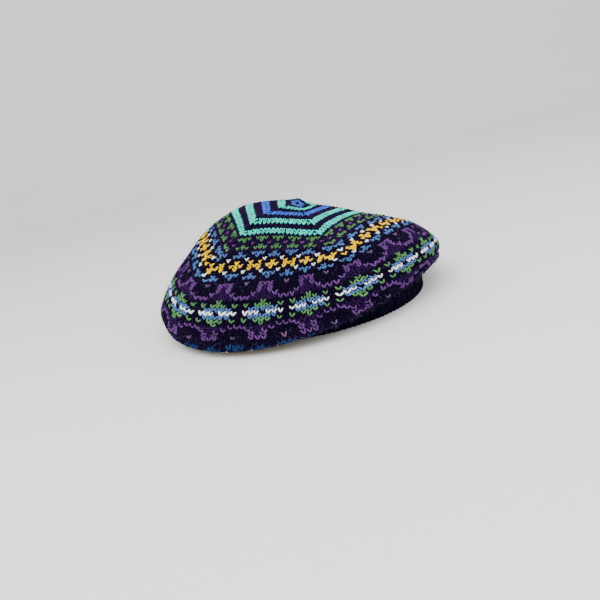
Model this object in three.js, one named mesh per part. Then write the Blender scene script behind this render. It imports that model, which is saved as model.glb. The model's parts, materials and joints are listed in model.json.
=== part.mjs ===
// Knit beret: a hollow stranded-knit crown with a five-sided wheel on top, and a ribbed headband.
// Units are millimetres, +Z is up, -Y is the front of the hat, the headband's lower rim lies on Z = 0.

import * as THREE from "three";

// Sizes of the headband
const BAND_RADIUS = 92;          // mean outer radius over the rib crests, for a head of about 570 mm
const BAND_OVAL = 0.04;          // front-to-back stretch of the ring, share of its radius
const BAND_HEIGHT = 25.9;
const BAND_WALL = 3.4;           // crest to crest, both faces ribbed
const BAND_RIB_COUNT = 80;
const BAND_RIB_DEPTH = 0.9;
const BAND_COLUMNS_PER_RIB = 3;
const BAND_DRAW_IN = 0.8;        // how much narrower the elastic lower rim is
const BAND_EDGE_ROUND = 0.9;

// Sizes of the crown
const CROWN_RADIUS = 109;        // mean radius at the widest row
const CROWN_HEIGHT = 77;         // top of the wheel over the lower rim of the headband
const CROWN_WALL = 2.6;          // stranded fabric, two yarns thick
const WEDGE_COUNT = 5;
const WHEEL_TURN = -4.7;         // degrees from the front to the middle of the nearest wedge
const COLUMNS_PER_WEDGE = 10;
const APEX_FORWARD = 0.112;      // how far the wheel's centre sits forward, share of CROWN_RADIUS
const APEX_SIDE = 0.016;         // and towards the wearer's left
const RIDGE_SHARE = 0.45;        // 0 leaves the dome smooth at the wedge lines, 1 makes full ridges
const SHORTEST_RUN = 2;
const STEEPEST_FALL = 1.6;
const SEAM_GAP = 0.3;            // between the headband's top rim and the crown's end above it
const SEAM_LAP = 2.8;            // how far the crown's end reaches over the headband's top rim
const SEAM_TURN = 0.9;           // corner between the band's side and its top rim
const BAND_SIDE_GAP = 0.4;       // between the rib crests and the crown's fold beside them

// Distance from the hat's middle forward to the headband's, so that the origin lies under the whole hat's middle
const FOOTPRINT_MIDDLE = 0.65;

// Crown rows from the wheel's centre out to the rim. Height is a share of CROWN_HEIGHT, and radius,
// forward, side, lift, tilt and saddle are shares of CROWN_RADIUS.
// forward and side: where the row's centre lies, towards the front and towards the wearer's left.
// lift and tilt: how much higher the row is at the front and at the wearer's left.
// oval: stretch along the front-to-back line. saddle: front and back raised, sides lowered.
// corner: 1 for a straight-sided five-cornered row, 0 for a round one.
function crownRow([radius, height, forward, side, lift, tilt, oval, saddle, corner]) {
  return { radius, height, forward, side, lift, tilt, oval, saddle, corner };
}

const CROWN_ROWS = [
  // radius, height, forward, side, lift, tilt, oval, saddle, corner
  [0.053, 0.997, 0.109, 0.015, -0.028, 0.008, -0.038, -0.005, 1.00],
  [0.115, 0.985, 0.096, 0.009, -0.038, 0.000, -0.013, 0.001, 1.00],
  [0.189, 0.971, 0.084, 0.003, -0.049, -0.006, 0.001, 0.008, 1.00],
  [0.266, 0.949, 0.072, -0.001, -0.062, -0.009, 0.023, 0.013, 1.00],
  [0.338, 0.912, 0.061, -0.004, -0.072, -0.007, 0.051, 0.021, 1.00],
  [0.404, 0.866, 0.054, -0.006, -0.079, -0.004, 0.080, 0.029, 1.00],
  [0.468, 0.820, 0.049, -0.008, -0.077, -0.005, 0.097, 0.037, 1.00],
  [0.536, 0.778, 0.050, -0.010, -0.071, -0.013, 0.095, 0.044, 0.98],
  [0.610, 0.725, 0.053, -0.013, -0.059, -0.025, 0.083, 0.050, 0.92],
  [0.689, 0.668, 0.056, -0.016, -0.045, -0.036, 0.066, 0.057, 0.78],
  [0.757, 0.610, 0.057, -0.018, -0.026, -0.042, 0.044, 0.053, 0.55],
  [0.817, 0.555, 0.058, -0.018, -0.017, -0.042, 0.028, 0.050, 0.32],
  [0.871, 0.498, 0.056, -0.017, -0.014, -0.037, 0.018, 0.046, 0.16],
  [0.918, 0.434, 0.052, -0.013, -0.015, -0.027, 0.011, 0.044, 0.07],
  [0.956, 0.373, 0.041, -0.007, -0.012, -0.014, 0.006, 0.042, 0.02],
  [0.985, 0.311, 0.021, 0.000, -0.007, 0.000, 0.001, 0.041, 0.00],
  [0.996, 0.238, -0.003, 0.000, 0.000, 0.000, -0.004, 0.040, 0.00],
].map(crownRow);

// Rows of the fold under the rim, which runs back up beside the headband.
// overhang: 0 beside the rib crests, 1 at CROWN_RADIUS. height is a share of BAND_HEIGHT here.
const FOLD_ROWS = [
  { overhang: 0.974, height: 0.542, forward: 0.008, lift: 0.001, oval: -0.020, saddle: 0.071 },
  { overhang: 0.705, height: 0.413, forward: 0.000, lift: 0.007, oval: -0.007, saddle: 0.066 },
  { overhang: 0.422, height: 0.404, forward: -0.004, lift: 0.006, oval: 0.010, saddle: 0.063 },
  { overhang: 0.219, height: 0.480, forward: -0.002, lift: 0.008, oval: 0.028, saddle: 0.052 },
  { overhang: 0.087, height: 0.622, forward: 0.000, lift: 0.011, oval: 0.038, saddle: 0.032 },
  { overhang: 0.035, height: 0.802, forward: 0.001, lift: 0.007, oval: 0.040, saddle: 0.014 },
];

// The last rows of the crown run beside the headband and over its top rim
const SEAM_HEIGHT = BAND_HEIGHT + SEAM_GAP;
const SEAM_SIDE_RADIUS = BAND_RADIUS + BAND_SIDE_GAP;
const PLAIN_ROW = { forward: 0, side: 0, lift: 0, tilt: 0, oval: BAND_OVAL, saddle: 0, corner: 0 };
const SEAM_ROWS = [
  { ...PLAIN_ROW, radius: SEAM_SIDE_RADIUS / CROWN_RADIUS, height: (SEAM_HEIGHT - SEAM_TURN) / CROWN_HEIGHT },
  { ...PLAIN_ROW, radius: (SEAM_SIDE_RADIUS - SEAM_TURN) / CROWN_RADIUS, height: SEAM_HEIGHT / CROWN_HEIGHT },
  { ...PLAIN_ROW, radius: (BAND_RADIUS - SEAM_LAP) / CROWN_RADIUS, height: SEAM_HEIGHT / CROWN_HEIGHT },
];

const WEDGE_ANGLE = (2 * Math.PI) / WEDGE_COUNT;
const CROWN_COLUMNS = WEDGE_COUNT * COLUMNS_PER_WEDGE;
const FOLD_WIDTH = CROWN_RADIUS - SEAM_SIDE_RADIUS;
const UNDER_ROWS = FOLD_ROWS.map((row) => ({
  ...row,
  radius: (SEAM_SIDE_RADIUS + row.overhang * FOLD_WIDTH) / CROWN_RADIUS,
  height: (row.height * BAND_HEIGHT) / CROWN_HEIGHT,
  side: 0,
  tilt: 0,
  corner: 0,
}));
const ALL_ROWS = [...CROWN_ROWS, ...UNDER_ROWS, ...SEAM_ROWS];

// Reach from the row's centre and height of a round row at an angle from the front
function roundReach(row, angle) {
  return row.radius * CROWN_RADIUS * (1 + row.oval * Math.cos(2 * angle));
}

function roundHeight(row, angle) {
  const lean = row.lift * Math.cos(angle) + row.tilt * Math.sin(angle);
  const bend = row.saddle * Math.cos(2 * angle);
  return row.height * CROWN_HEIGHT + (lean + bend) * CROWN_RADIUS;
}

// Fall of the dome per millimetre of reach near a row, so that its corners follow the dome down
function domeFall(index, angle) {
  const above = ALL_ROWS[Math.max(index - 1, 0)];
  const below = ALL_ROWS[index + 1];
  const run = roundReach(below, angle) - roundReach(above, angle);
  const drop = roundHeight(above, angle) - roundHeight(below, angle);
  return Math.min(drop / Math.max(run, SHORTEST_RUN), STEEPEST_FALL);
}

// Point of the crown's outer face on one row, at a share of the way round counted in columns
function crownPoint(index, column) {
  const row = ALL_ROWS[index];
  const wedge = Math.floor(column / COLUMNS_PER_WEDGE);
  const share = column / COLUMNS_PER_WEDGE - wedge - 0.5;
  const sideLength = 2 * Math.tan(WEDGE_ANGLE / 2);
  const across = share * sideLength;
  const evenSize = Math.sqrt(1 + (sideLength * sideLength) / 12);
  const turn = (WHEEL_TURN * Math.PI) / 180 + wedge * WEDGE_ANGLE;
  const angle = turn + (1 - row.corner) * share * WEDGE_ANGLE + row.corner * Math.atan(across);
  const excess = row.corner * (Math.hypot(1, across) / evenSize - 1);
  const reach = roundReach(row, angle) * (1 + excess);
  const fall = row.corner > 0 ? (1 - RIDGE_SHARE) * domeFall(index, angle) : 0;
  const up = roundHeight(row, angle) - fall * excess * roundReach(row, angle);
  const forward = row.forward * CROWN_RADIUS + reach * Math.cos(angle);
  const side = row.side * CROWN_RADIUS + reach * Math.sin(angle);
  return new THREE.Vector3(side, FOOTPRINT_MIDDLE - forward, up);
}

// Outer points, and inner points set back by the wall along the face's own direction
function crownGrids() {
  const outer = ALL_ROWS.map((row, index) => {
    const ring = [];
    for (let column = 0; column < CROWN_COLUMNS; column += 1) ring.push(crownPoint(index, column));
    return ring;
  });
  const apexForward = FOOTPRINT_MIDDLE - APEX_FORWARD * CROWN_RADIUS;
  const apex = new THREE.Vector3(APEX_SIDE * CROWN_RADIUS, apexForward, CROWN_HEIGHT);
  const last = outer.length - 1;
  const inner = outer.map((ring, index) => ring.map((point, column) => {
    const next = (column + 1) % CROWN_COLUMNS;
    const before = (column + CROWN_COLUMNS - 1) % CROWN_COLUMNS;
    const inward = index === 0 ? apex : outer[index - 1][column];
    const outward = index === last ? point : outer[index + 1][column];
    const along = outward.clone().sub(point).normalize().add(point.clone().sub(inward).normalize());
    const around = ring[next].clone().sub(ring[before]);
    const normal = along.cross(around).normalize();
    return point.clone().addScaledVector(normal, -CROWN_WALL);
  }));
  return { outer, inner, apex, innerApex: apex.clone().add(new THREE.Vector3(0, 0, -CROWN_WALL)) };
}

// Closed body from a list of points and a list of triangles
function closedBody(name, points, triangles, color) {
  const geometry = new THREE.BufferGeometry();
  geometry.setAttribute("position", new THREE.Float32BufferAttribute(points.flatMap((p) => [p.x, p.y, p.z]), 3));
  geometry.setIndex(triangles.flat());
  geometry.computeVertexNormals();
  const material = new THREE.MeshStandardMaterial({ color, roughness: 0.95, metalness: 0 });
  material.name = name;
  const mesh = new THREE.Mesh(geometry, material);
  mesh.name = name;
  return mesh;
}

// Two triangles between neighbouring rings, wound so that the face looks away from the wall
function stitchRings(triangles, first, second, count) {
  for (let column = 0; column < count; column += 1) {
    const next = (column + 1) % count;
    triangles.push([first + column, second + column, second + next]);
    triangles.push([first + column, second + next, first + next]);
  }
}

function buildCrown() {
  const { outer, inner, apex, innerApex } = crownGrids();
  const points = [...outer.flat(), ...inner.flat(), apex, innerApex];
  const triangles = [];
  const innerStart = outer.length * CROWN_COLUMNS;
  const apexIndex = innerStart * 2;
  const last = outer.length - 1;
  for (let ring = 0; ring < last; ring += 1) {
    stitchRings(triangles, ring * CROWN_COLUMNS, (ring + 1) * CROWN_COLUMNS, CROWN_COLUMNS);
    stitchRings(triangles, innerStart + (ring + 1) * CROWN_COLUMNS, innerStart + ring * CROWN_COLUMNS, CROWN_COLUMNS);
  }
  stitchRings(triangles, last * CROWN_COLUMNS, innerStart + last * CROWN_COLUMNS, CROWN_COLUMNS);
  for (let column = 0; column < CROWN_COLUMNS; column += 1) {
    const next = (column + 1) % CROWN_COLUMNS;
    triangles.push([apexIndex, column, next]);
    triangles.push([apexIndex + 1, innerStart + next, innerStart + column]);
  }
  return closedBody("crown", points, triangles, 0x2a1a44);
}

// Closed cross-section of the headband: [share of the wall from inner face to outer face, height]
function bandSection() {
  const round = BAND_EDGE_ROUND;
  const inset = round / BAND_WALL;
  return [
    [1 - inset, 0],
    [1, round],
    [1, BAND_HEIGHT - round],
    [1 - inset, BAND_HEIGHT],
    [inset, BAND_HEIGHT],
    [0, BAND_HEIGHT - round],
    [0, round],
    [inset, 0],
  ];
}

function buildBand() {
  const section = bandSection();
  const columns = BAND_RIB_COUNT * BAND_COLUMNS_PER_RIB;
  const points = [];
  section.forEach(([share, height]) => {
    for (let column = 0; column < columns; column += 1) {
      const angle = (2 * Math.PI * column) / columns;
      const rib = 0.5 + 0.5 * Math.cos((2 * Math.PI * column) / BAND_COLUMNS_PER_RIB);
      const thin = BAND_RIB_DEPTH * (1 - rib);
      const outerFace = BAND_RADIUS - thin;
      const innerFace = BAND_RADIUS - BAND_WALL + BAND_RIB_DEPTH * rib * 0.5;
      const drawIn = BAND_DRAW_IN * (1 - height / BAND_HEIGHT);
      const flat = innerFace + share * (outerFace - innerFace) - drawIn;
      const reach = flat * (1 + BAND_OVAL * Math.cos(2 * angle));
      points.push(new THREE.Vector3(
        reach * Math.sin(angle),
        FOOTPRINT_MIDDLE - reach * Math.cos(angle),
        height,
      ));
    }
  });
  const triangles = [];
  for (let ring = 0; ring < section.length; ring += 1) {
    const following = (ring + 1) % section.length;
    stitchRings(triangles, following * columns, ring * columns, columns);
  }
  return closedBody("band", points, triangles, 0x1a1030);
}

const beret = new THREE.Group();
beret.name = "knit_beret";
beret.add(buildCrown());
beret.add(buildBand());

export default beret;
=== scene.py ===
"""Knit beret: V-stitches, colour-work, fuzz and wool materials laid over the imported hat."""
import json
import math

import bpy
import numpy as np
from mathutils import Matrix, Vector

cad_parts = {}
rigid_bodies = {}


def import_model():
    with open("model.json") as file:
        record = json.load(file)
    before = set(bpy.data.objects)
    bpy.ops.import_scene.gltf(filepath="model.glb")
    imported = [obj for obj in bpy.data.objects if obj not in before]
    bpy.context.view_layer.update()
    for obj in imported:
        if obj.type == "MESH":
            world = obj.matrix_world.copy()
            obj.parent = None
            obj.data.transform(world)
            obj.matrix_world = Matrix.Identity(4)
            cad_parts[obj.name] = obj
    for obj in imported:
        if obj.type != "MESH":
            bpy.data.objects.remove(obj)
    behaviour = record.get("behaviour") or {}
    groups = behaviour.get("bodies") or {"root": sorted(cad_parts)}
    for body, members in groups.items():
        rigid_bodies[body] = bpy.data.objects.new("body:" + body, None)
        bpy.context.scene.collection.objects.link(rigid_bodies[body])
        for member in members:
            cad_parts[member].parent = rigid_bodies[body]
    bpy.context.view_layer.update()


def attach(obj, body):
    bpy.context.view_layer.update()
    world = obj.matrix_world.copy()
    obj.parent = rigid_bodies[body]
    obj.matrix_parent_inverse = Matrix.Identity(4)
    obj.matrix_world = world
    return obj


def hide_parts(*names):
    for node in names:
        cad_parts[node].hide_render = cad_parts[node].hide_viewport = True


bl_info = {
    "name": "Knit beret",
    "version": (1, 0, 0),
    "blender": (4, 5, 0),
    "location": "View3D > Sidebar > Beret",
    "description": "Knits the crown and the headband stitch by stitch over the hat's form",
    "category": "Object",
}

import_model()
MM = 0.001

# Form of the hat, in millimetres, the same named values as its solids
BAND_RADIUS = 92.0
BAND_OVAL = 0.04
BAND_HEIGHT = 25.9
BAND_WALL = 3.4
BAND_RIBS = 80
BAND_RIB_DEPTH = 0.9
BAND_DRAW_IN = 0.8
BAND_ROWS = 10
CROWN_RADIUS = 109.0
CROWN_HEIGHT = 77.0
CROWN_WALL = 2.6
WEDGES = 5
WHEEL_TURN = math.radians(-4.7)
APEX_FORWARD = 0.112
APEX_SIDE = 0.016
RIDGE_SHARE = 0.45
SHORTEST_RUN = 2.0
STEEPEST_FALL = 1.6
FOOTPRINT_MIDDLE = 0.65
SEAM_HEIGHT = BAND_HEIGHT + 0.3
SEAM_SIDE_RADIUS = BAND_RADIUS + 0.4
SEAM_TURN = 0.9
SEAM_LAP = 2.8
ROWS_PER_STATION = 3.0

# radius, height, forward, side, lift, tilt, oval, saddle, corner, as in the solids' own table
CROWN_ROWS = [
    (0.053, 0.997, 0.109, 0.015, -0.028, 0.008, -0.038, -0.005, 1.00),
    (0.115, 0.985, 0.096, 0.009, -0.038, 0.000, -0.013, 0.001, 1.00),
    (0.189, 0.971, 0.084, 0.003, -0.049, -0.006, 0.001, 0.008, 1.00),
    (0.266, 0.949, 0.072, -0.001, -0.062, -0.009, 0.023, 0.013, 1.00),
    (0.338, 0.912, 0.061, -0.004, -0.072, -0.007, 0.051, 0.021, 1.00),
    (0.404, 0.866, 0.054, -0.006, -0.079, -0.004, 0.080, 0.029, 1.00),
    (0.468, 0.820, 0.049, -0.008, -0.077, -0.005, 0.097, 0.037, 1.00),
    (0.536, 0.778, 0.050, -0.010, -0.071, -0.013, 0.095, 0.044, 0.98),
    (0.610, 0.725, 0.053, -0.013, -0.059, -0.025, 0.083, 0.050, 0.92),
    (0.689, 0.668, 0.056, -0.016, -0.045, -0.036, 0.066, 0.057, 0.78),
    (0.757, 0.610, 0.057, -0.018, -0.026, -0.042, 0.044, 0.053, 0.55),
    (0.817, 0.555, 0.058, -0.018, -0.017, -0.042, 0.028, 0.050, 0.32),
    (0.871, 0.498, 0.056, -0.017, -0.014, -0.037, 0.018, 0.046, 0.16),
    (0.918, 0.434, 0.052, -0.013, -0.015, -0.027, 0.011, 0.044, 0.07),
    (0.956, 0.373, 0.041, -0.007, -0.012, -0.014, 0.006, 0.042, 0.02),
    (0.985, 0.311, 0.021, 0.000, -0.007, 0.000, 0.001, 0.041, 0.00),
    (0.996, 0.238, -0.003, 0.000, 0.000, 0.000, -0.004, 0.040, 0.00),
]
# row number, overhang, height, forward, lift, oval, saddle
FOLD_ROWS = [
    (53.5, 0.974, 0.542, 0.008, 0.001, -0.020, 0.071),
    (56.0, 0.705, 0.413, 0.000, 0.007, -0.007, 0.066),
    (58.5, 0.422, 0.404, -0.004, 0.006, 0.010, 0.063),
    (60.5, 0.219, 0.480, -0.002, 0.008, 0.028, 0.052),
    (63.0, 0.087, 0.622, 0.000, 0.011, 0.038, 0.032),
    (65.3, 0.035, 0.802, 0.001, 0.007, 0.040, 0.014),
]
# row numbers of the seam's turn and of its end
SEAM_ROWS = (67.2, 67.7, 68.8)
LAST_ROW = SEAM_ROWS[-1]

# how far rows and columns stray from an even grid, by the angle round the crown in degrees
SLIP_ANGLES = (-180, -150, -122, -113, -104, -86, -68, -50, -32, -14, 4, 30, 80)
SLIP_REACH = 8.0
# row number, and the rows that it slips at each angle
ROW_SLIP = [
    (22.0, (0.0, -0.3, -0.2, -0.3, -0.4, -0.5, -0.3, 0.6, -0.1, -0.6, -0.6, -0.5, 0.0)),
    (30.0, (0.0, -1.6, -1.0, -0.3, -0.3, -0.1, 0.5, 1.3, 0.0, -1.1, -0.8, -0.2, 0.0)),
    (38.0, (0.0, -2.8, -1.5, -0.7, -0.5, -0.1, 0.8, 0.8, -0.7, -1.3, -0.7, -0.2, 0.0)),
    (46.0, (0.0, -2.4, -0.5, 0.0, 0.0, -0.2, 0.3, 0.4, -0.3, -0.5, -0.1, -0.1, 0.0)),
    (54.0, (0.0, -1.0, -0.4, -0.6, -0.8, -1.2, -0.2, 1.2, 2.0, 2.2, 2.0, 1.4, 0.0)),
]
# columns that the knitting slips at each angle, and the share of it that holds at some rows
COLUMN_SLIP = (0.0, -3.0, -4.2, -3.4, -1.2, 0.1, 0.1, -0.8, 0.8, 1.7, 1.9, 1.4, 0.0)
COLUMN_SLIP_ROWS = (16.0, 30.0, 46.0, 60.0)
COLUMN_SLIP_SHARES = (0.0, 1.0, 1.0, 0.6)

# Crown's knitting: stitches across a full wedge and rows of it, then lengths in millimetres
FULL_WEDGE = 32
STITCH_ROWS = 62
NARROWEST_STITCH = 2.0
TALLEST_STITCH = 2.8
# a stitch stands proud by a share of its width and a base
RELIEF_OF_WIDTH = 0.5
RELIEF_BASE = 1.6
# width of a stitch on a decrease line, in stitches, on rows of an even and of an odd count
SPINE_WIDTH = 1.15
WIDE_SPINE = 1.7
# depth of a stitch's middle under the face, less on a decrease line and more at the wheel's centre
STITCH_SUNK = 0.55
SPINE_RAISED = 0.35
CENTRE_ROWS = (1, 5)
CENTRE_SUNK = (1.2, 0.0)
# depth of the cloth past the last row of stitches
SEAM_CLOTH_DEPTH = 0.25

# Unevenness: shares of a stitch, and millimetres that it strays across and along its column
LARGEST_STRAY = 0.18
STRAY_SHARES = [1, 1, 0.6]
STRAY_ACROSS = 1.2
STRAY_ALONG = 0.8
TURN_SHARE = 0.7
DYE_SPREAD = 0.09
HUE_SPREAD = 0.03

# Headband's knitting: cloth, ribs, purl bumps and cast-on edge, lengths in millimetres
BAND_SEED = 900
RIB_COLUMNS = 6
RIB_CLOTH_SUNK = 0.75
INNER_CLOTH_PROUD = 0.45
INNER_RIB_SHARE = 0.5
RIB_SUNK = 0.85
PURL_SUNK = 1.65
RIB_FOOT = 1.4
RIB_MARGIN = 1.6
RIB_STRAY = 0.03
RIB_DYE_SPREAD = 0.1
EDGE_HEIGHT = 0.85
EDGE_OUTWARD = 1.0
EDGE_WIDTH = 0.55
EDGE_TALL = 2.4
EDGE_RELIEF = 3.4
# share across the wall, height
BAND_SECTION = [
    (0.72, 0.0), (0.93, 0.35), (1.0, 1.1), (1.0, 8.0), (1.0, 17.0), (1.0, 24.8), (0.72, 25.8),
    (0.28, 25.8), (0.0, 24.8), (0.0, 17.0), (0.0, 8.0), (0.0, 1.1), (0.07, 0.35), (0.28, 0.0),
]

# Loose fibres: rows of the crown and of its lip, and heights of the headband, that they grow on
FUZZ_ROWS = np.arange(1, STITCH_ROWS, 2.0)
LIP_ROWS = np.array([50.0, 53.0, 56.5])
LIP_CROWD = 2.2
BAND_FUZZ_HEIGHTS = (BAND_HEIGHT - 3, 1.0)
BAND_FUZZ_COLUMNS = 120
# turns in radians, the shortest fibre as a share of the longest, and the least height in metres
HAIR_LEAN = 1.0
HAIR_SPIN = 6.283
SHORTEST_HAIR = 0.35
FLOOR_CLEARANCE = 0.0001

# Stitch and fibre shapes: x, y, z and radius of each station, as shares of the stitch or the fibre
LEG_FLATNESS = 0.8
V_LEGS = [
    (0.02, -0.74, -0.24, 0.0), (0.09, -0.46, 0.00, 0.13), (0.20, -0.10, 0.12, 0.18),
    (0.31, 0.27, 0.10, 0.18), (0.39, 0.58, -0.03, 0.13), (0.43, 0.80, -0.24, 0.0),
]
PURL_BUMP = [
    (-0.52, 0.16, -0.25, 0.0), (-0.36, 0.05, 0.0, 0.17), (0.0, -0.16, 0.06, 0.20),
    (0.36, 0.05, 0.0, 0.17), (0.52, 0.16, -0.25, 0.0),
]
HAIR = [(0.0, 0.0, 0.0, 0.0), (0.03, 0.0, 0.2, 0.012), (0.10, 0.05, 0.55, 0.010), (0.26, 0.08, 0.88, 0.0)]

# piece, first row, last row
CROWN_PIECES = (("crown_wheel_stitches", 1, 25), ("crown_border_stitches", 26, 36),
                ("crown_rim_stitches", 37, 49), ("crown_under_stitches", 50, STITCH_ROWS))
# piece, turn in ribs, radius, side that it faces, width as a share of a rib, shape, relief
RIB_PIECES = (
    ("band_ribs_outside", 0.0, BAND_RADIUS - RIB_SUNK, 1, 0.60, V_LEGS, 3.0),
    ("band_ribs_inside", 0.5, BAND_RADIUS - BAND_WALL + RIB_SUNK, -1, 0.60, V_LEGS, 3.0),
    ("band_purls_outside", 0.5, BAND_RADIUS - PURL_SUNK, 1, 0.50, PURL_BUMP, 3.2),
)

# Yarns: letter, name of its setting, label, colour
YARNS = {
    "m": ("mint", "Mint", "22E0CA"),
    "p": ("periwinkle", "Periwinkle", "4069CF"),
    "b": ("blue", "Blue", "4A6BA2"),
    "g": ("green", "Green", "4F804C"),
    "y": ("yellow", "Golden yellow", "FBC900"),
    "w": ("white", "White", "F4FBFF"),
    "v": ("violet", "Violet", "5D3873"),
    "d": ("dusk", "Dusky pink", "5E4864"),
    # deep blue: the blue yarn darkened as painted shade, for the border rows turned under the crown's fold
    "o": ("shade_painted_blue", "Shade-painted blue", "17305A"),
    "n": ("navy", "Navy ground", "0A021C"),
    "a": ("aubergine", "Aubergine ground", "1A062C"),
    "u": ("plum", "Plum ground", "230A38"),
    "k": ("band", "Headband", "05021A"),
}
GROUND = "n"
# violet haze of the loose fibres
HAZE = (0.58, 0.45, 1.0, 1.0)

# Colour-work, one letter a stitch, charted from the wheel's centre outwards
# first row, last row, yarn of the whole round
RINGS = [
    (1, 2, "p"), (3, 4, "a"), (5, 6, "m"), (7, 8, "a"), (9, 10, "p"), (11, 12, "a"),
    (13, 14, "m"), (15, 16, "a"), (17, 18, "m"), (19, 19, "a"), (25, 25, "a"),
]
# first row, column that the wedge's middle stitch takes, ground, rows of the repeat
BORDERS = [
    (20, 1, "a", ["ggg.", ".g..", "...v", ".g..", "ggg."]),
    (26, 5, "n", ["bbb..b..", ".b..bbb.", "...w...w", "y.y..y..", "yyy.yyy.",
                  "y.y..y..", "...w...w", ".b..bbb.", "bbb..b.."]),
    (36, 4, "u", ["dnnvvvnn", "nnnv.vnn", "nnnv.vnn", "nnv...vn", "vv.....v"]),
    (41, 4, "n", ["....g...", ".g.ggg.g", "..bbbbb.", ".www.www", "..bbbbb.", ".g.ggg.g", "....g..."]),
    (48, 4, "u", ["vv.....v", "nnv...vn", "nnnv.vnn", "nnnv.vnn", "dnnvvvnn"]),
    # from row 54 the border lies turned under the fold; its blue is the blue yarn darkened as painted shade
    (54, 5, "n", ["ooo..o..", ".o..ooo.", "...w...w", "y.y..y..", "yyy.yyy.",
                  "y.y..y..", "...w...w", ".o..ooo.", "ooo..o.."]),
]

# Wrong side of the cloth: how bright a yarn has to be to show there, and how much of it shows
BRIGHT_YARN = 0.4
BACK_YARN_SHARE = 0.45
# share of the yarn's brightness left on the cloth under the stitches: painted shade between the stitches
FACE_CLOTH_PAINTED_SHADE = 0.7
# share of the headband yarn's brightness left on the ring under its ribs: painted shade between the ribs
BAND_CLOTH_PAINTED_SHADE = 0.8

# Wool: the scales of its patterns, in repeats a metre, and the twist of its plies
HEATHER_SCALE = 420.0
PATCH_SCALE = 38.0
FIBRE_SCALE = 1900.0
CLOTH_HEATHER_SCALE = 380.0
CLOTH_FIBRE_SCALE = 1500.0
FUZZ_PATCH_SCALE = 90.0
PLIES = 2
PLY_LEAN = 0.9

# Stage, in millimetres: a floor that bends up into a backdrop, two soft lights and the camera
STAGE_AHEAD = (0.8219, 0.4919, 0.0)
FLOOR_REACH = 9000.0
FLOOR_END = 1400.0
BEND_RADIUS = 900.0
BEND_START = 0.1
BEND_STEPS = 14
BACKDROP_TOP = 3600.0
SKY_COLOUR = (0.97, 0.985, 1.0, 1.0)
# name, place, share of the key light's power, width in metres
LIGHTS = (("key", (-620.0, -160.0, 780.0), 1.0, 0.7), ("fill", (-300.0, -820.0, 420.0), 0.45, 0.9))
LIT_POINT = (0.0, 0.0, 30.0)
SENSOR = 36.0
LENS = 35.02
CLIP = (0.01, 20.0)
CAMERA_RIGHT = (0.45381, -0.86682, -0.20662)
CAMERA_UP = (0.34472, -0.04304, 0.93772)
CAMERA_BACK = (-0.82172, -0.49677, 0.27928)
CAMERA_PLACE = (-382.3, -227.4, 130.1)


# Working out the form

def station_table():
    """Row numbers and the lengths of every station of the crown, from its centre to its seam."""
    middle = (APEX_FORWARD * CROWN_RADIUS, APEX_SIDE * CROWN_RADIUS)
    rows = [(0.0, 0.0, CROWN_HEIGHT, *middle, 0.0, 0.0, 0.0, 0.0, 1.0)]
    for i, (radius, height, forward, side, lift, tilt, oval, saddle, corner) in enumerate(CROWN_ROWS):
        shares = [share * CROWN_RADIUS for share in (forward, side, lift, tilt, saddle)]
        rows.append((ROWS_PER_STATION * (i + 1), radius * CROWN_RADIUS, height * CROWN_HEIGHT,
                     *shares[:4], oval, shares[4], corner))
    fold = CROWN_RADIUS - SEAM_SIDE_RADIUS
    for number, overhang, height, forward, lift, oval, saddle in FOLD_ROWS:
        rows.append((number, SEAM_SIDE_RADIUS + overhang * fold, height * BAND_HEIGHT,
                     forward * CROWN_RADIUS, 0.0, lift * CROWN_RADIUS, 0.0, oval, saddle * CROWN_RADIUS, 0.0))
    level = (0.0, 0.0, 0.0, 0.0, BAND_OVAL, 0.0, 0.0)
    seam = ((SEAM_SIDE_RADIUS, SEAM_HEIGHT - SEAM_TURN), (SEAM_SIDE_RADIUS - SEAM_TURN, SEAM_HEIGHT),
            (BAND_RADIUS - SEAM_LAP, SEAM_HEIGHT))
    rows += [(number, radius, height, *level) for number, (radius, height) in zip(SEAM_ROWS, seam)]
    return np.array(rows)


STATIONS = station_table()


def smooth_slopes(x, y):
    """Slopes of a curve that never overshoots its stations."""
    step = np.diff(x)
    rate = np.diff(y) / step
    slope = np.zeros(len(x))
    for i in range(1, len(x) - 1):
        if rate[i - 1] * rate[i] > 0:
            before, after = 2 * step[i] + step[i - 1], step[i] + 2 * step[i - 1]
            slope[i] = (before + after) / (before / rate[i - 1] + after / rate[i])
    slope[0], slope[-1] = rate[0], rate[-1]
    return slope


SLOPES = np.array([smooth_slopes(STATIONS[:, 0], STATIONS[:, i]) for i in range(1, 10)]).T


def row_values(row):
    """Radius, height, forward, side, lift, tilt, oval, saddle and corner at any row number."""
    row = np.clip(row, 0, LAST_ROW)
    x = STATIONS[:, 0]
    i = np.clip(np.searchsorted(x, row, side="right") - 1, 0, len(x) - 2)
    step = x[i + 1] - x[i]
    t = ((row - x[i]) / step)[..., None]
    y0, y1 = STATIONS[i, 1:], STATIONS[i + 1, 1:]
    m0, m1 = SLOPES[i] * step[..., None], SLOPES[i + 1] * step[..., None]
    value = (2 * t**3 - 3 * t**2 + 1) * y0 + (t**3 - 2 * t**2 + t) * m0
    value = value + (3 * t**2 - 2 * t**3) * y1 + (t**3 - t**2) * m1
    return np.moveaxis(value, -1, 0)


def slip(row, angle):
    """Rows and columns by which the stitches stray at a row number and an angle round the crown."""
    degrees = (np.degrees(angle) + 180) % 360 - 180
    rows = sum(np.interp(row, (at - SLIP_REACH, at, at + SLIP_REACH), (0, 1, 0))
               * np.interp(degrees, SLIP_ANGLES, line) for at, line in ROW_SLIP)
    share = np.interp(row, COLUMN_SLIP_ROWS, COLUMN_SLIP_SHARES)
    return rows, share * np.interp(degrees, SLIP_ANGLES, COLUMN_SLIP)


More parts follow.
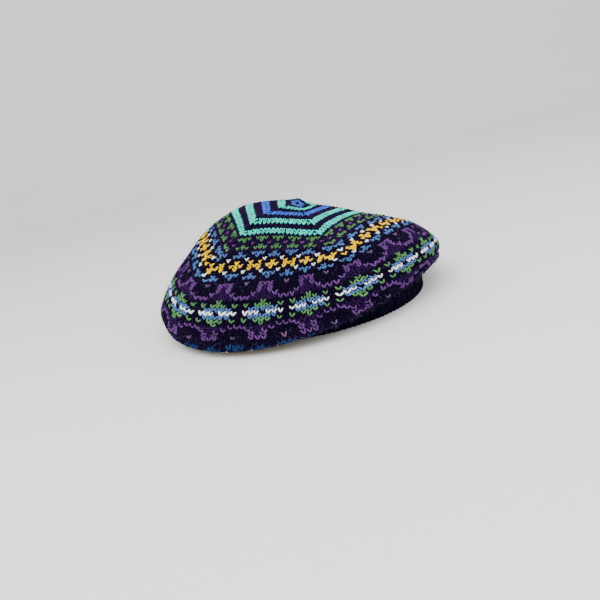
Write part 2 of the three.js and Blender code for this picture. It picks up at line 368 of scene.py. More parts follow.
def crown_points(row, wedge, share):
    """Points of the crown's outer face: row number, wedge number, share across the wedge from -0.5 to 0.5."""
    row, wedge, share = np.broadcast_arrays(*(np.asarray(v, float) for v in (row, wedge, share)))
    wide = 2 * math.pi / WEDGES
    rows, columns = slip(row, WHEEL_TURN + (wedge + share) * wide)
    row, place = row + rows, wedge + share + columns / FULL_WEDGE
    wedge = np.floor(place + 0.5)
    share = place - wedge
    side = 2 * math.tan(wide / 2)
    even = math.sqrt(1 + side * side / 12)
    radius, height, forward, aside, lift, tilt, oval, saddle, corner = row_values(row)
    angle = WHEEL_TURN + wedge * wide + (1 - corner) * share * wide + corner * np.arctan(share * side)
    excess = corner * (np.hypot(1, share * side) / even - 1)

    def reach_and_height(at):
        """Reach and height of another row at the same angle."""
        r, h, _, _, rise, lean, stretch, bend, _ = row_values(at)
        up = h + rise * np.cos(angle) + lean * np.sin(angle) + bend * np.cos(2 * angle)
        return r * (1 + stretch * np.cos(2 * angle)), up

    upper, lower = reach_and_height(row - ROWS_PER_STATION), reach_and_height(row + ROWS_PER_STATION)
    fall = (upper[1] - lower[1]) / np.maximum(lower[0] - upper[0], SHORTEST_RUN)
    fall = (1 - RIDGE_SHARE) * np.minimum(fall, STEEPEST_FALL)
    plain = radius * (1 + oval * np.cos(2 * angle))
    reach = plain * (1 + excess)
    up = height + lift * np.cos(angle) + tilt * np.sin(angle) + saddle * np.cos(2 * angle)
    up = up - fall * excess * plain
    back = FOOTPRINT_MIDDLE - forward - reach * np.cos(angle)
    return np.stack([aside + reach * np.sin(angle), back, up], -1)


def unit(vectors):
    """The same vectors with a length of 1."""
    return vectors / np.maximum(np.linalg.norm(vectors, axis=-1, keepdims=True), 1e-9)


def band_points(angle, height, radius):
    """Points on a ring of the headband at a mean radius."""
    angle, height, radius = np.broadcast_arrays(*(np.asarray(v, float) for v in (angle, height, radius)))
    reach = (radius - BAND_DRAW_IN * (1 - height / BAND_HEIGHT)) * (1 + BAND_OVAL * np.cos(2 * angle))
    return np.stack([reach * np.sin(angle), FOOTPRINT_MIDDLE - reach * np.cos(angle), height], -1)


def yarn_at(row, stitch):
    """Letter of the yarn on a row, at a stitch counted from the middle of its wedge."""
    for first, last, letter in RINGS:
        if first <= row <= last:
            return letter
    for first, middle, ground, chart in BORDERS:
        if first <= row < first + len(chart):
            line = chart[row - first]
            letter = line[(stitch + middle) % len(line)]
            return ground if letter == "." else letter
    return GROUND


# Meshes

def link(name, data):
    """A new object in the scene."""
    made = bpy.data.objects.new(name, data)
    bpy.context.scene.collection.objects.link(made)
    return made


def new_object(name, points, faces):
    """A smooth mesh object from points in millimetres."""
    mesh = bpy.data.meshes.new(name)
    mesh.from_pydata((np.asarray(points) * MM).tolist(), [], [list(map(int, face)) for face in faces])
    mesh.update()
    mesh.polygons.foreach_set("use_smooth", [True] * len(mesh.polygons))
    return link(name, mesh)


def ring_faces(first, second, count):
    """Quads between two rings of points."""
    here = np.arange(count)
    after = (here + 1) % count
    return np.stack([first + here, second + here, second + after, first + after], 1).tolist()


def give_colour(thing, colours):
    """Writes the yarn colour of every point of a mesh."""
    layer = thing.data.attributes.new("yarn", "FLOAT_COLOR", "POINT")
    rgba = np.ones((len(thing.data.vertices), 4))
    rgba[:, :3] = colours
    layer.data.foreach_set("color", rgba.ravel())


def give_uv(thing, places):
    """Writes a UV map from one place for every point of a mesh."""
    layer = thing.data.uv_layers.new(name="UVMap")
    for loop in thing.data.loops:
        layer.data[loop.index].uv = places[loop.vertex_index]


def finish_piece(piece, material, slot, *nodes):
    """One material, a body to ride on, and the solids that the piece stands for."""
    if not piece.data.materials:
        piece.data.materials.append(material)
    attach(piece, "root")
    if nodes:
        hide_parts(*nodes)
    return piece


def leg_mesh(name, line, sides=5, mirror=True, crosswise=False):
    """One or two plump yarn legs along (x, y, z, radius) stations, closed to a point at both ends."""
    points, faces, places = [], [], []
    for flip in ((1, -1) if mirror else (1,)):
        start = len(points)
        for number, (x, y, z, radius) in enumerate(line):
            if number in (0, len(line) - 1):
                points.append((flip * x, y, z))
                places.append((0.5, number))
                continue
            for side in range(sides):
                turn = 2 * math.pi * (side + 0.5) / sides + math.pi / 2
                wide, high = radius * math.cos(turn), radius * LEG_FLATNESS * math.sin(turn)
                points.append((x, y - wide, z + high) if crosswise else (flip * (x + wide), y, z + high))
                places.append((side / sides, number))
        rings = len(line) - 2
        tail = start + 1 + rings * sides
        last = tail - sides
        for side in range(sides):
            after = (side + 1) % sides
            strip = [[start, start + 1 + after, start + 1 + side]]
            for ring in range(rings - 1):
                low = start + 1 + ring * sides
                high = low + sides
                strip.append([low + side, low + after, high + after, high + side])
            strip.append([tail, last + side, last + after])
            faces += strip if flip == 1 else [face[::-1] for face in strip]
    thing = new_object(name, np.array(points) / MM, faces)
    give_uv(thing, places)
    return thing


# Geometry Nodes

class Tree:
    """A geometry node tree with named inputs."""

    def __init__(self, name, inputs):
        self.tree = bpy.data.node_groups.new(name, "GeometryNodeTree")
        face = self.tree.interface
        face.new_socket("Geometry", in_out="INPUT", socket_type="NodeSocketGeometry")
        face.new_socket("Geometry", in_out="OUTPUT", socket_type="NodeSocketGeometry")
        self.ids = {}
        for label, kind, default in inputs:
            item = face.new_socket(label, in_out="INPUT", socket_type=kind)
            if default is not None:
                item.default_value = default
            self.ids[label] = item.identifier
        self.start = self.tree.nodes.new("NodeGroupInput")
        self.end = self.tree.nodes.new("NodeGroupOutput")

    def add(self, kind, settings=None, **sockets):
        """A node, with values or links for its sockets by name."""
        node = self.tree.nodes.new(kind)
        for key, value in (settings or {}).items():
            setattr(node, key, value)
        for key, value in sockets.items():
            socket = next(s for s in node.inputs if s.name == key.replace("_", " ") and s.enabled)
            if isinstance(value, bpy.types.NodeSocket):
                self.tree.links.new(value, socket)
            else:
                socket.default_value = value
        return node

    def join(self, kind, settings, *values):
        """A node whose first sockets are linked in order, such as a product."""
        node = self.add(kind, settings)
        for value, socket in zip(values, node.inputs):
            self.tree.links.new(value, socket)
        return node.outputs[0]

    def random(self, kind, low, high):
        """Random values between two limits, drawn with the tree's seed."""
        node = self.add("FunctionNodeRandomValue", {"data_type": kind}, Min=low, Max=high,
                        Seed=self.given("Seed"))
        return next(s for s in node.outputs if s.enabled)

    def given(self, label):
        """One of the tree's named inputs."""
        return self.start.outputs[label]

    def named(self, name):
        """A vector that every point carries."""
        node = self.add("GeometryNodeInputNamedAttribute", {"data_type": "FLOAT_VECTOR"}, Name=name)
        return next(s for s in node.outputs if s.enabled and s.name == "Attribute")

    def lay(self, points, turn, size):
        """Ends the tree in a copy of the shape on every point, as plain geometry with the material."""
        shape = self.add("GeometryNodeObjectInfo", Object=self.given("Shape"))
        laid = self.add("GeometryNodeInstanceOnPoints", Points=points, Instance=shape.outputs["Geometry"],
                        Rotation=turn, Scale=size)
        solid = self.add("GeometryNodeRealizeInstances", Geometry=laid.outputs[0])
        dressed = self.add("GeometryNodeSetMaterial", Geometry=solid.outputs[0],
                           Material=self.given("Material"))
        self.tree.links.new(dressed.outputs[0], self.end.inputs[0])


def apply_tree(carrier, tree, values, name):
    """Runs a tree on the carrier and returns its result as a plain mesh object at the origin."""
    modifier = carrier.modifiers.new("knit", "NODES")
    modifier.node_group = tree.tree
    for label, value in values.items():
        modifier[tree.ids[label]] = value
    bpy.context.view_layer.update()
    graph = bpy.context.evaluated_depsgraph_get()
    mesh = bpy.data.meshes.new_from_object(carrier.evaluated_get(graph), preserve_all_data_layers=True,
                                           depsgraph=graph)
    mesh.name = name
    carrier.modifiers.clear()
    bpy.data.objects.remove(carrier)
    return link(name, mesh)


def stitch_tree():
    """Sets one copy of a stitch on each point, turned to the row and sized to its neighbours."""
    tree = Tree("Stitches", [
        ("Shape", "NodeSocketObject", None), ("Width", "NodeSocketFloat", 1.0),
        ("Height", "NodeSocketFloat", 1.0), ("Relief", "NodeSocketFloat", 1.0),
        ("Material", "NodeSocketMaterial", None),
    ])
    turn = tree.add("FunctionNodeAxesToRotation", {"primary_axis": "Z", "secondary_axis": "Y"},
                    Primary_Axis=tree.named("outward"), Secondary_Axis=tree.named("along"))
    scale = tree.add("ShaderNodeCombineXYZ", X=tree.given("Width"), Y=tree.given("Height"),
                     Z=tree.given("Relief"))
    size = tree.join("ShaderNodeVectorMath", {"operation": "MULTIPLY"}, tree.named("size"), scale.outputs[0])
    tree.lay(tree.given("Geometry"), turn.outputs[0], size)
    return tree


def hair_tree():
    """Scatters loose fibres over a face, each turned at random and leaning along the cloth."""
    tree = Tree("Loose fibres", [
        ("Shape", "NodeSocketObject", None), ("Density", "NodeSocketFloat", 60000.0),
        ("Length", "NodeSocketFloat", 0.004), ("Seed", "NodeSocketInt", 7),
        ("Material", "NodeSocketMaterial", None),
    ])
    spread = tree.add("GeometryNodeDistributePointsOnFaces", Mesh=tree.given("Geometry"),
                      Density=tree.given("Density"), Seed=tree.given("Seed"))
    lean = tree.random("FLOAT_VECTOR", (-HAIR_LEAN, -HAIR_LEAN, 0.0), (HAIR_LEAN, HAIR_LEAN, HAIR_SPIN))
    turned = tree.join("FunctionNodeEulerToRotation", {}, lean)
    turn = tree.join("FunctionNodeRotateRotation", {"rotation_space": "LOCAL"},
                     spread.outputs["Rotation"], turned)
    size = tree.random("FLOAT", SHORTEST_HAIR, 1.0)
    grow = tree.join("ShaderNodeMath", {"operation": "MULTIPLY"}, size, tree.given("Length"))
    tree.lay(spread.outputs["Points"], turn, grow)
    return tree


def knit(name, line, material, slot, places, outward, along, sizes, colours):
    """Lays one stitch shape on every place, turned, sized and dyed, as one finished piece."""
    carrier = new_object(name + "_points", places, [])
    for label, values, factor in (("outward", outward, 1), ("along", along, 1), ("size", sizes, MM)):
        layer = carrier.data.attributes.new(label, "FLOAT_VECTOR", "POINT")
        layer.data.foreach_set("vector", (np.asarray(values, np.float32) * factor).ravel())
    give_colour(carrier, colours)
    chosen = settings()
    bump = line is PURL_BUMP
    shape = leg_mesh("stitch_shape", line, mirror=not bump, crosswise=bump)
    made = apply_tree(carrier, stitch_tree(), {
        "Shape": shape, "Width": chosen.stitch_width, "Height": chosen.stitch_height,
        "Relief": chosen.relief, "Material": material}, name)
    bpy.data.objects.remove(shape)
    return finish_piece(made, material, slot)


# Shader maths

class Value:
    """A shader socket whose arithmetic adds the Math nodes that it needs."""

    def __init__(self, shader, socket):
        self.shader, self.socket = shader, socket

    def math(self, operation, *others):
        """A Math node on this value and on other values or numbers."""
        node = self.shader.nodes.new("ShaderNodeMath")
        node.operation = operation
        for place, item in enumerate((self, *others)):
            if isinstance(item, Value):
                self.shader.links.new(item.socket, node.inputs[place])
            else:
                node.inputs[place].default_value = item
        return Value(self.shader, node.outputs[0])

    def __add__(self, other):
        return self.math("ADD", other)

    def __mul__(self, other):
        return self.math("MULTIPLY", other)

    __radd__, __rmul__ = __add__, __mul__


class Shader:
    """A Principled material whose nodes are added by type, settings and sockets."""

    def __init__(self, name, **fixed):
        self.material = bpy.data.materials.new(name)
        self.material.use_nodes = True
        tree = self.material.node_tree
        self.nodes, self.links = tree.nodes, tree.links
        self.surface = next(n for n in self.nodes if n.type == "BSDF_PRINCIPLED")
        for key, value in fixed.items():
            self.surface.inputs[key.replace("_", " ")].default_value = value

    def add(self, kind, settings=None, output=0, **sockets):
        """A node, its settings first, then values or links for its sockets by name."""
        node = self.nodes.new(kind)
        for key, value in (settings or {}).items():
            if key == "stops":
                for stop, (place, shade) in zip(node.color_ramp.elements, value):
                    stop.position, stop.color = place, shade
            else:
                setattr(node, key, value)
        for key, value in sockets.items():
            socket = next(s for s in node.inputs if s.name == key.replace("_", " ") and s.enabled)
            if isinstance(value, Value):
                self.links.new(value.socket, socket)
            else:
                socket.default_value = value
        return Value(self, node.outputs[output])

    def noise(self, scale, detail):
        """Noise that stays put on the piece."""
        place = self.add("ShaderNodeTexCoord", output=3)
        return self.add("ShaderNodeTexNoise", Vector=place, Scale=scale, Detail=detail)

    def yarn_place(self):
        """Places across and along the yarn, from the piece's UV map."""
        parts = self.add("ShaderNodeSeparateXYZ", Vector=self.add("ShaderNodeUVMap", {"uv_map": "UVMap"}))
        outputs = parts.socket.node.outputs
        return Value(self, outputs[0]), Value(self, outputs[1])

    def dyed(self, light):
        """The colour that the yarn brings, made lighter and darker by a varying number."""
        colour = self.add("ShaderNodeAttribute", {"attribute_name": "yarn"})
        grey = self.add("ShaderNodeCombineColor", Red=light, Green=light, Blue=light)
        shade = self.add("ShaderNodeMix", {"data_type": "RGBA", "blend_type": "MULTIPLY"},
                         output=2, Factor=1.0)
        sockets = [s for s in shade.socket.node.inputs if s.enabled and s.type == "RGBA"]
        self.links.new(colour.socket, sockets[0])
        self.links.new(grey.socket, sockets[1])
        return shade

    def feed(self, **sockets):
        """Links varying values to the surface."""
        for key, value in sockets.items():
            self.links.new(value.socket, self.surface.inputs[key.replace("_", " ")])


def linear(code):
    """A hex colour as linear light."""
    parts = [int(code[i:i + 2], 16) / 255 for i in (0, 2, 4)]
    return tuple(c / 12.92 if c <= 0.04045 else ((c + 0.055) / 1.055) ** 2.4 for c in parts)


def yarn_material(name, ply_bump, sheen):
    """Wool yarn: dyed by the stitch, with a twisted ply, heathered fibres and a dull face."""
    wool = Shader(name, Sheen_Weight=sheen, Sheen_Roughness=0.45, Sheen_Tint=HAZE, Specular_IOR_Level=0.02)
    heather = wool.noise(HEATHER_SCALE, 2.0)
    patch = wool.noise(PATCH_SCALE, 1.0)
    fibre = wool.noise(FIBRE_SCALE, 3.0)
    shade = wool.dyed(0.50 + heather * 0.70 + patch * 0.28)
    across, along = wool.yarn_place()
    ply = ((across + along * PLY_LEAN) * (2 * math.pi * PLIES)).math("SINE")
    bump = wool.add("ShaderNodeBump", Strength=ply_bump, Distance=0.0003, Height=ply * 0.5 + fibre * 0.9)
    wool.feed(Base_Color=shade, Roughness=0.78 + heather * 0.2, Normal=bump)
    return wool.material


def cloth_material(name):
    """Wrong side of the knitting: rows of purl bumps, in the yarns that cross behind the stitches."""
    cloth = Shader(name, Sheen_Weight=0.04, Sheen_Roughness=0.5, Sheen_Tint=HAZE, Specular_IOR_Level=0.03)
    fibre = cloth.noise(CLOTH_FIBRE_SCALE, 3.0)
    heather = cloth.noise(CLOTH_HEATHER_SCALE, 2.0)
    across, along = cloth.yarn_place()
    bumps = (along * (2 * math.pi) + (across * (2 * math.pi)).math("SINE") * 0.9).math("SINE")
    # the colour is darker in the hollows between the purl bumps and lighter on them: painted shade; the bump
    # map gives the relief
    shade = cloth.dyed(0.5 + (bumps + 1.0) * 0.22 + heather * 0.35)
    bump = cloth.add("ShaderNodeBump", Strength=0.8, Distance=0.0007, Height=bumps * 0.5 + fibre * 0.4)
    cloth.feed(Base_Color=shade, Roughness=0.82 + heather * 0.15, Normal=bump)
    return cloth.material


def fibre_material(name, colour):
    """Loose fibres, paler in patches: partly their own lighter tone, partly a painted highlight of the light
    that they catch.
    """
    fuzz = Shader(name, Sheen_Weight=0.3, Sheen_Roughness=0.5, Sheen_Tint=HAZE, Specular_IOR_Level=0.1)
    patch = fuzz.noise(FUZZ_PATCH_SCALE, 1.0)
    # pale: the fibre colour lightened, partly a random lighter tone and partly a painted highlight of backlit
    # fibres
    pale = [0.09 + 0.9 * c for c in colour] + [1.0]
    ramp = fuzz.add("ShaderNodeValToRGB", {"stops": [(0.42, (*colour, 1.0)), (0.72, pale)]}, Fac=patch)
    fuzz.feed(Base_Color=ramp, Roughness=0.8 + patch * 0.15)
    return fuzz.material


def paper_material(name, colour):
    """Plain pale floor and backdrop."""
    paper = Shader(name, Specular_IOR_Level=0.1)
    cloud = paper.noise(2.0, 2.0)
    soft = [c * 0.97 for c in colour] + [1.0]
    ramp = paper.add("ShaderNodeValToRGB", {"stops": [(0.3, soft), (0.7, (*colour, 1.0))]}, Fac=cloud)
    paper.feed(Base_Color=ramp, Roughness=0.9 + cloud * 0.05)
    return paper.material


# Settings

def colour_setting(letter):
    """A colour property for one yarn."""
    _, label, code = YARNS[letter]
    return bpy.props.FloatVectorProperty(name=label, description=f"{label} yarn", subtype="COLOR",
                                         size=3, min=0, max=1, default=linear(code))


class BeretSettings(bpy.types.PropertyGroup):
    """Sizes and colours of the knitting."""
    stitch_width: bpy.props.FloatProperty(
        name="Stitch width", description="Share of the space between columns",
        default=1.0, min=0.6, max=1.3, subtype="FACTOR")
    stitch_height: bpy.props.FloatProperty(
        name="Stitch height", description="Share of the space between rows",
        default=1.0, min=0.6, max=1.4, subtype="FACTOR")
    relief: bpy.props.FloatProperty(
        name="Relief", description="Height of the stitches over the cloth",
        default=1.0, min=0.3, max=2.0, subtype="FACTOR")
    cloth_depth: bpy.props.FloatProperty(
        name="Cloth depth", description="How far the cloth lies under the face",
        default=0.0011, min=0.0, max=0.002, unit="LENGTH", precision=4)
    unevenness: bpy.props.FloatProperty(
        name="Unevenness", description="How much stitches differ in place and size",
        default=0.11, min=0, max=0.3, subtype="FACTOR")
    fibre_density: bpy.props.FloatProperty(
        name="Fibre density", description="Loose fibres on a square metre",
        default=75000.0, min=0, max=200000)
    fibre_length: bpy.props.FloatProperty(
        name="Fibre length", description="Longest loose fibre",
        default=0.005, min=0.001, max=0.01, unit="LENGTH", precision=4)
    seed: bpy.props.IntProperty(
        name="Seed", description="Changes every random choice", default=11, min=0)
    sheen: bpy.props.FloatProperty(
        name="Sheen", description="Soft light on the wool", default=0.05, min=0, max=1)
    ply_bump: bpy.props.FloatProperty(
        name="Ply bump", description="Depth of the yarn's twist", default=0.5, min=0, max=1, subtype="FACTOR")
    floor: bpy.props.FloatVectorProperty(
        name="Floor", description="Colour of the floor", subtype="COLOR",
        size=3, min=0, max=1, default=(0.92, 0.92, 0.91))
    key_power: bpy.props.FloatProperty(
        name="Key light", description="Power of the main light", default=9.0, min=0, max=100)
    sky: bpy.props.FloatProperty(
        name="Sky", description="Strength of the even light", default=1.25, min=0, max=3)


for _letter, (_key, *_) in YARNS.items():
    BeretSettings.__annotations__[_key] = colour_setting(_letter)


def settings():
    """The hat's settings in this scene."""
    return bpy.context.scene.beret


def yarn_colours(letters):
    """Linear colours of a list of yarn letters."""
    chosen = settings()
    table = {letter: np.array(getattr(chosen, key)) for letter, (key, _, _) in YARNS.items()}
    return np.array([table[letter] for letter in letters])


# Pieces

def column_places(step=1):
    """Wedge numbers, and shares across them, of every column of the crown or of one in a few."""
    column = np.arange(0, WEDGES * FULL_WEDGE, step)
    wedge = column // FULL_WEDGE
    return wedge, column / FULL_WEDGE - wedge - 0.5


class BERET_OT_crown_cloth(bpy.types.Operator):
    """Makes the crown's closed cloth, which the stitches lie on"""
    bl_idname = "beret.crown_cloth"
    bl_label = "Crown cloth"

    def execute(self, context):
        columns = WEDGES * FULL_WEDGE
        rows = np.concatenate([np.arange(1.0, int(SEAM_ROWS[0])), SEAM_ROWS])
        count = len(rows) * columns
        wedge, share = column_places()
        grid = crown_points(rows[:, None], wedge[None], share[None])
        apex = crown_points([0.0], [0], [0.0])[0]
        inward = np.concatenate([np.broadcast_to(apex, (1, columns, 3)), grid[:-1]])
        outward = np.concatenate([grid[1:], grid[-1:]])
        normal = unit(np.cross(unit(outward - grid) + unit(grid - inward),
                               np.roll(grid, -1, 1) - np.roll(grid, 1, 1)))
        depth = np.where(rows > STITCH_ROWS + 0.5, SEAM_CLOTH_DEPTH, settings().cloth_depth / MM)
        outer, inner = grid - normal * depth[:, None, None], grid - normal * CROWN_WALL
        points = np.concatenate([outer.reshape(-1, 3), inner.reshape(-1, 3),
                                 [apex - [0, 0, depth[0]], apex - [0, 0, CROWN_WALL]]])
        faces = []
        for ring in range(len(rows) - 1):
            faces += ring_faces(ring * columns, (ring + 1) * columns, columns)
            faces += ring_faces(count + (ring + 1) * columns, count + ring * columns, columns)
        faces += ring_faces((len(rows) - 1) * columns, count + (len(rows) - 1) * columns, columns)
        for column in range(columns):
            after = (column + 1) % columns
            faces += [[2 * count, column, after], [2 * count + 1, count + after, count + column]]
        cloth = new_object("crown_cloth", points, faces)
        letters = [yarn_at(int(round(row)), int(round(s * min(row, FULL_WEDGE))))
                   for row in rows for s in share]
        face_yarn = yarn_colours(letters)
        ground = yarn_colours([GROUND] * count)
        bright = face_yarn.sum(1, keepdims=True) > BRIGHT_YARN
        mixed = face_yarn * BACK_YARN_SHARE + ground * (1 - BACK_YARN_SHARE)
        back = np.where(bright, mixed, ground)
        # the face under the stitches takes the ground darkened as painted shade between the stitches; the
        # inside takes the wrong side's yarns
        give_colour(cloth, np.concatenate([ground * FACE_CLOTH_PAINTED_SHADE, back, ground[:1], back[:1]]))
        places = [(column, row) for row in rows for column in range(columns)]
        give_uv(cloth, places * 2 + places[:1] * 2)
        finish_piece(cloth, cloth_material("crown_wrong_side"), "crown_wool", "crown")
        return {"FINISHED"}


def crown_stitches(first, last):
    """Row, wedge, share, stitch number, stitches across and width of every stitch on some rows."""
    made = []
    for row in range(first, last + 1):
        across = min(row, FULL_WEDGE)
        half = across // 2 - 1
        spine = SPINE_WIDTH if across % 2 == 0 else WIDE_SPINE
        for wedge in range(WEDGES):
            for stitch in range(-half, half + 1):
                made.append((row, wedge, stitch / across, stitch, across, 1.0))
            made.append((row, wedge, 0.5, across // 2, across, spine))
    return np.array(made, float).T


def stitch_axes(row, wedge, share, across):
    """Place of each stitch, with the vectors to its neighbours across the row and along its column."""
    growing = (row <= FULL_WEDGE) & (np.abs(share) < 0.5)

    def beside(at):
        """Share across the wedge of the same column on another row."""
        return np.where(growing, share * across / np.minimum(at, FULL_WEDGE), share)

    above = crown_points(row - 0.5, wedge, np.clip(beside(row - 0.5), -0.5, 0.5))
    below = crown_points(row + 0.5, wedge, beside(row + 0.5))
    step = 0.5 / across
    spine = share >= 0.5
    left = crown_points(row, wedge, share - step)
    right = crown_points(row, np.where(spine, (wedge + 1) % WEDGES, wedge),
                         np.where(spine, -0.5 + step, share + step))
    return crown_points(row, wedge, share), right - left, above - below


def lay_stitches(name, first, last, material):
    """Lays the V-stitches of some rows of the crown as one piece."""
    uneven = settings().unevenness
    random = np.random.default_rng(settings().seed + first)
    row, wedge, share, stitch, across, wide = crown_stitches(first, last)
    count = len(row)
    place, sideways, along = stitch_axes(row, wedge, share, across)
    outward = unit(np.cross(sideways, along))
    column = np.maximum(np.linalg.norm(sideways, axis=1) * wide, NARROWEST_STITCH)
    size = np.stack([column, np.minimum(np.linalg.norm(along, axis=1), TALLEST_STITCH),
                     RELIEF_OF_WIDTH * column / wide + RELIEF_BASE], 1)
    stray = random.normal(0, uneven, (count, 3))
    size = size * (1 + np.clip(stray, -LARGEST_STRAY, LARGEST_STRAY) * STRAY_SHARES)
    place = place + unit(sideways) * (stray[:, 1:2] * STRAY_ACROSS)
    place = place + unit(along) * (stray[:, 2:] * STRAY_ALONG)
    raised = np.where(share >= 0.5, SPINE_RAISED, 0.0)
    sunk = STITCH_SUNK - raised + np.interp(row, CENTRE_ROWS, CENTRE_SUNK)
    place = place - outward * sunk[:, None]
    letters = [yarn_at(int(r), int(s)) for r, s in zip(row, stitch)]
    colours = yarn_colours(letters) * (1 + random.normal(0, DYE_SPREAD, (count, 1)))
    colours = np.clip(colours * (1 + random.normal(0, HUE_SPREAD, (count, 3))), 0, 1)
    along = unit(along) + unit(sideways) * random.normal(0, uneven * TURN_SHARE, (count, 1))
    return knit(name, V_LEGS, material, "crown_wool", place, outward, along, size, colours)


class BERET_OT_crown_stitches(bpy.types.Operator):
    """Knits the crown's right side, stitch by stitch, in four pieces from its centre to its fold"""
    bl_idname = "beret.crown_stitches"
    bl_label = "Crown stitches"

    def execute(self, context):
        chosen = settings()
        wool = yarn_material("crown_yarn", chosen.ply_bump, chosen.sheen)
        for name, first, last in CROWN_PIECES:
            lay_stitches(name, first, last, wool)
        return {"FINISHED"}


class BERET_OT_band_cloth(bpy.types.Operator):
    """Makes the headband's closed ribbed ring"""
    bl_idname = "beret.band_cloth"
    bl_label = "Headband cloth"

    def execute(self, context):
        columns = BAND_RIBS * RIB_COLUMNS
        angle = 2 * math.pi * np.arange(columns) / columns
        rib = 0.5 + 0.5 * np.cos(angle * BAND_RIBS)
        outer = BAND_RADIUS - RIB_CLOTH_SUNK - BAND_RIB_DEPTH * (1 - rib)
        inner = BAND_RADIUS - BAND_WALL + INNER_CLOTH_PROUD + BAND_RIB_DEPTH * INNER_RIB_SHARE * rib
        points = np.concatenate([band_points(angle, height, inner + share * (outer - inner))
                                 for share, height in BAND_SECTION])
        faces = []
        for ring in range(len(BAND_SECTION)):
            faces += ring_faces(((ring + 1) % len(BAND_SECTION)) * columns, ring * columns, columns)
        band = new_object("band_cloth", points, faces)
        # the ring under the ribs is the headband yarn darkened as painted shade between the ribs
        give_colour(band, np.repeat(yarn_colours("k"), len(points), 0) * BAND_CLOTH_PAINTED_SHADE)
        give_uv(band, [(column / RIB_COLUMNS, height / BAND_HEIGHT * BAND_ROWS)
                       for _, height in BAND_SECTION for column in range(columns)])
        finish_piece(band, cloth_material("band_wrong_side"), "band_wool", "band")
        return {"FINISHED"}


def band_yarn(count, random):
    """Colours of the headband's stitches, a little lighter and darker by turns."""
    colours = yarn_colours("k" * count) * (1 + random.normal(0, RIB_DYE_SPREAD, (count, 1)))
    return np.clip(colours, 0, 1)


class BERET_OT_band_stitches(bpy.types.Operator):
    """Knits the headband's ribs on both faces, and its cast-on edge"""
    bl_idname = "beret.band_stitches"
    bl_label = "Headband stitches"

    def execute(self, context):
        chosen = settings()
        random = np.random.default_rng(chosen.seed + BAND_SEED)
        wool = yarn_material("band_yarn", chosen.ply_bump, chosen.sheen)
        pitch = 2 * math.pi / BAND_RIBS
        wide = BAND_RADIUS * pitch
        row_height = (BAND_HEIGHT - RIB_MARGIN) / BAND_ROWS
        rows, ribs = np.divmod(np.arange(BAND_ROWS * BAND_RIBS), BAND_RIBS)
        count = len(rows)
        height = RIB_FOOT + (rows + 0.5) * row_height
        for name, turn, radius, facing, share, line, relief in RIB_PIECES:
            angle = (ribs + turn) * pitch + random.normal(0, RIB_STRAY, count) * pitch
            place = band_points(angle, height, radius)
            outward = unit(band_points(angle, height, radius + 1) - place) * facing
            along = np.array([0, 0, 1.0]) + random.normal(0, RIB_STRAY, (count, 3))
            size = np.tile([wide * share, row_height, relief], (count, 1))
            stray = random.normal(0, chosen.unevenness, size.shape)
            size = size * (1 + np.clip(stray, -LARGEST_STRAY, LARGEST_STRAY))
            knit(name, line, wool, "band_wool", place, outward, along, size, band_yarn(count, random))
        count = BAND_RIBS * 2
        angle = np.arange(count) * pitch / 2
        place = band_points(angle, EDGE_HEIGHT, BAND_RADIUS - BAND_WALL / 2 + EDGE_OUTWARD)
        outward = unit(band_points(angle, EDGE_HEIGHT, BAND_RADIUS + 1) - place)
        along = np.tile([0, 0, 1.0], (count, 1))
        size = np.tile([wide * EDGE_WIDTH, EDGE_TALL, EDGE_RELIEF], (count, 1))
        knit("band_cast_on", PURL_BUMP, wool, "band_wool", place, outward, along, size,
             band_yarn(count, random))
        return {"FINISHED"}


def crown_strip(name, rows):
    """A face of the crown over some rows, for the fibres to grow on."""
    wedge, share = column_places(2)
    grid = crown_points(rows[:, None], wedge[None], share[None])
    faces = []
    for ring in range(len(rows) - 1):
        faces += ring_faces(ring * len(share), (ring + 1) * len(share), len(share))
    return new_object(name, grid.reshape(-1, 3), faces)


def band_strip(name):
    """A plain ring on the headband's outer face, for the fibres to grow on."""
    angle = 2 * math.pi * np.arange(BAND_FUZZ_COLUMNS) / BAND_FUZZ_COLUMNS
    rings = np.concatenate([band_points(angle, height, BAND_RADIUS) for height in BAND_FUZZ_HEIGHTS])
    return new_object(name, rings, ring_faces(0, BAND_FUZZ_COLUMNS, BAND_FUZZ_COLUMNS))


class BERET_OT_fuzz(bpy.types.Operator):
    """Scatters loose wool fibres over the crown and the headband"""
    bl_idname = "beret.fuzz"
    bl_label = "Loose fibres"

    def execute(self, context):
        chosen = settings()
        for name, carrier, letter, slot, crowd in (
                ("crown_fuzz", crown_strip("crown_face", FUZZ_ROWS), "v", "crown_wool", 1.0),
                ("rim_fuzz", crown_strip("rim_face", LIP_ROWS), "v", "crown_wool", LIP_CROWD),
                ("band_fuzz", band_strip("band_face"), "k", "band_wool", 1.0)):
            hair = leg_mesh("hair", HAIR, sides=3, mirror=False)
            material = fibre_material(name + "_wool", yarn_colours(letter)[0])
            made = apply_tree(carrier, hair_tree(), {
                "Shape": hair, "Density": chosen.fibre_density * crowd, "Length": chosen.fibre_length,
                "Seed": chosen.seed, "Material": material}, name)
            bpy.data.objects.remove(hair)
            for vertex in made.data.vertices:
                vertex.co.z = max(vertex.co.z, FLOOR_CLEARANCE)
            finish_piece(made, material, slot)
        return {"FINISHED"}


# Stage

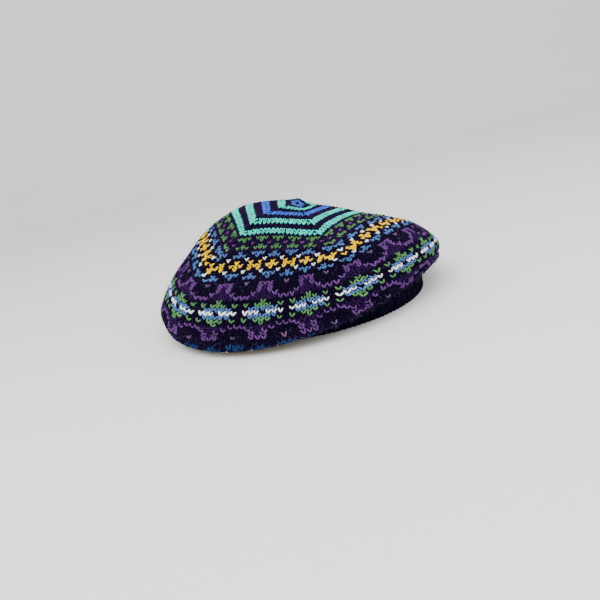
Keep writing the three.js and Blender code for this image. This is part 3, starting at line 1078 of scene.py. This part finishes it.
def make_floor(colour):
    """A floor that bends up into a backdrop behind the hat."""
    ahead = unit(np.array(STAGE_AHEAD))
    side = np.array([ahead[1], -ahead[0], 0.0])
    profile = [(-FLOOR_REACH, 0.0), (FLOOR_END, 0.0)]
    profile += [(FLOOR_END + BEND_RADIUS * math.sin(t), BEND_RADIUS - BEND_RADIUS * math.cos(t))
                for t in np.linspace(BEND_START, math.pi / 2, BEND_STEPS)]
    profile += [(FLOOR_END + BEND_RADIUS, BACKDROP_TOP)]
    points = [ahead * far + side * wide + [0, 0, up]
              for far, up in profile for wide in (-FLOOR_REACH, FLOOR_REACH)]
    faces = [[2 * i, 2 * i + 1, 2 * i + 3, 2 * i + 2] for i in range(len(profile) - 1)]
    floor = new_object("floor", points, faces)
    floor.data.materials.append(paper_material("pale_paper", colour))


def make_light(name, spot, power, size):
    """A square soft light that faces the hat."""
    lamp = bpy.data.lights.new(name, "AREA")
    lamp.energy, lamp.size = power, size
    holder = link(name, lamp)
    holder.location = Vector(spot) * MM
    holder.rotation_mode = "QUATERNION"
    holder.rotation_quaternion = (Vector(LIT_POINT) * MM - holder.location).to_track_quat("-Z", "Y")


def make_camera():
    """The camera at the photograph's angle."""
    view = bpy.data.cameras.new("camera")
    view.sensor_width, view.lens = SENSOR, LENS
    view.clip_start, view.clip_end = CLIP
    camera = link("camera", view)
    turned = Matrix((CAMERA_RIGHT, CAMERA_UP, CAMERA_BACK)).transposed().to_4x4()
    turned.translation = Vector(CAMERA_PLACE) * MM
    camera.matrix_world = turned
    return camera


class BERET_OT_stage(bpy.types.Operator):
    """Sets the pale floor, the soft light and the camera"""
    bl_idname = "beret.stage"
    bl_label = "Stage"

    def execute(self, context):
        chosen = settings()
        scene = context.scene
        make_floor(tuple(chosen.floor))
        world = bpy.data.worlds.new("soft_sky")
        world.use_nodes = True
        sky = next(n for n in world.node_tree.nodes if n.type == "BACKGROUND")
        sky.inputs["Color"].default_value = SKY_COLOUR
        sky.inputs["Strength"].default_value = chosen.sky
        scene.world = world
        for name, spot, share, size in LIGHTS:
            make_light(name, spot, chosen.key_power * share, size)
        scene.camera = make_camera()
        return {"FINISHED"}


class BERET_PT_panel(bpy.types.Panel):
    """Lists the hat's pieces and its settings"""
    bl_idname = "BERET_PT_panel"
    bl_label = "Knit beret"
    bl_space_type = "VIEW_3D"
    bl_region_type = "UI"
    bl_category = "Beret"

    def draw(self, context):
        column = self.layout.column(align=True)
        for operator in OPERATORS:
            column.operator(operator.bl_idname)
        box = self.layout.box()
        for key in BeretSettings.__annotations__:
            box.prop(context.scene.beret, key)


OPERATORS = (BERET_OT_crown_cloth, BERET_OT_crown_stitches, BERET_OT_band_cloth, BERET_OT_band_stitches,
             BERET_OT_fuzz, BERET_OT_stage)
CLASSES = (BeretSettings, *OPERATORS, BERET_PT_panel)


def register():
    for cls in CLASSES:
        bpy.utils.register_class(cls)
    bpy.types.Scene.beret = bpy.props.PointerProperty(type=BeretSettings)


def unregister():
    del bpy.types.Scene.beret
    for cls in reversed(CLASSES):
        bpy.utils.unregister_class(cls)


def main():
    register()
    bpy.ops.beret.crown_cloth()
    bpy.ops.beret.crown_stitches()
    bpy.ops.beret.band_cloth()
    bpy.ops.beret.band_stitches()
    bpy.ops.beret.fuzz()
    bpy.ops.beret.stage()


if __name__ == "__main__":
    main()
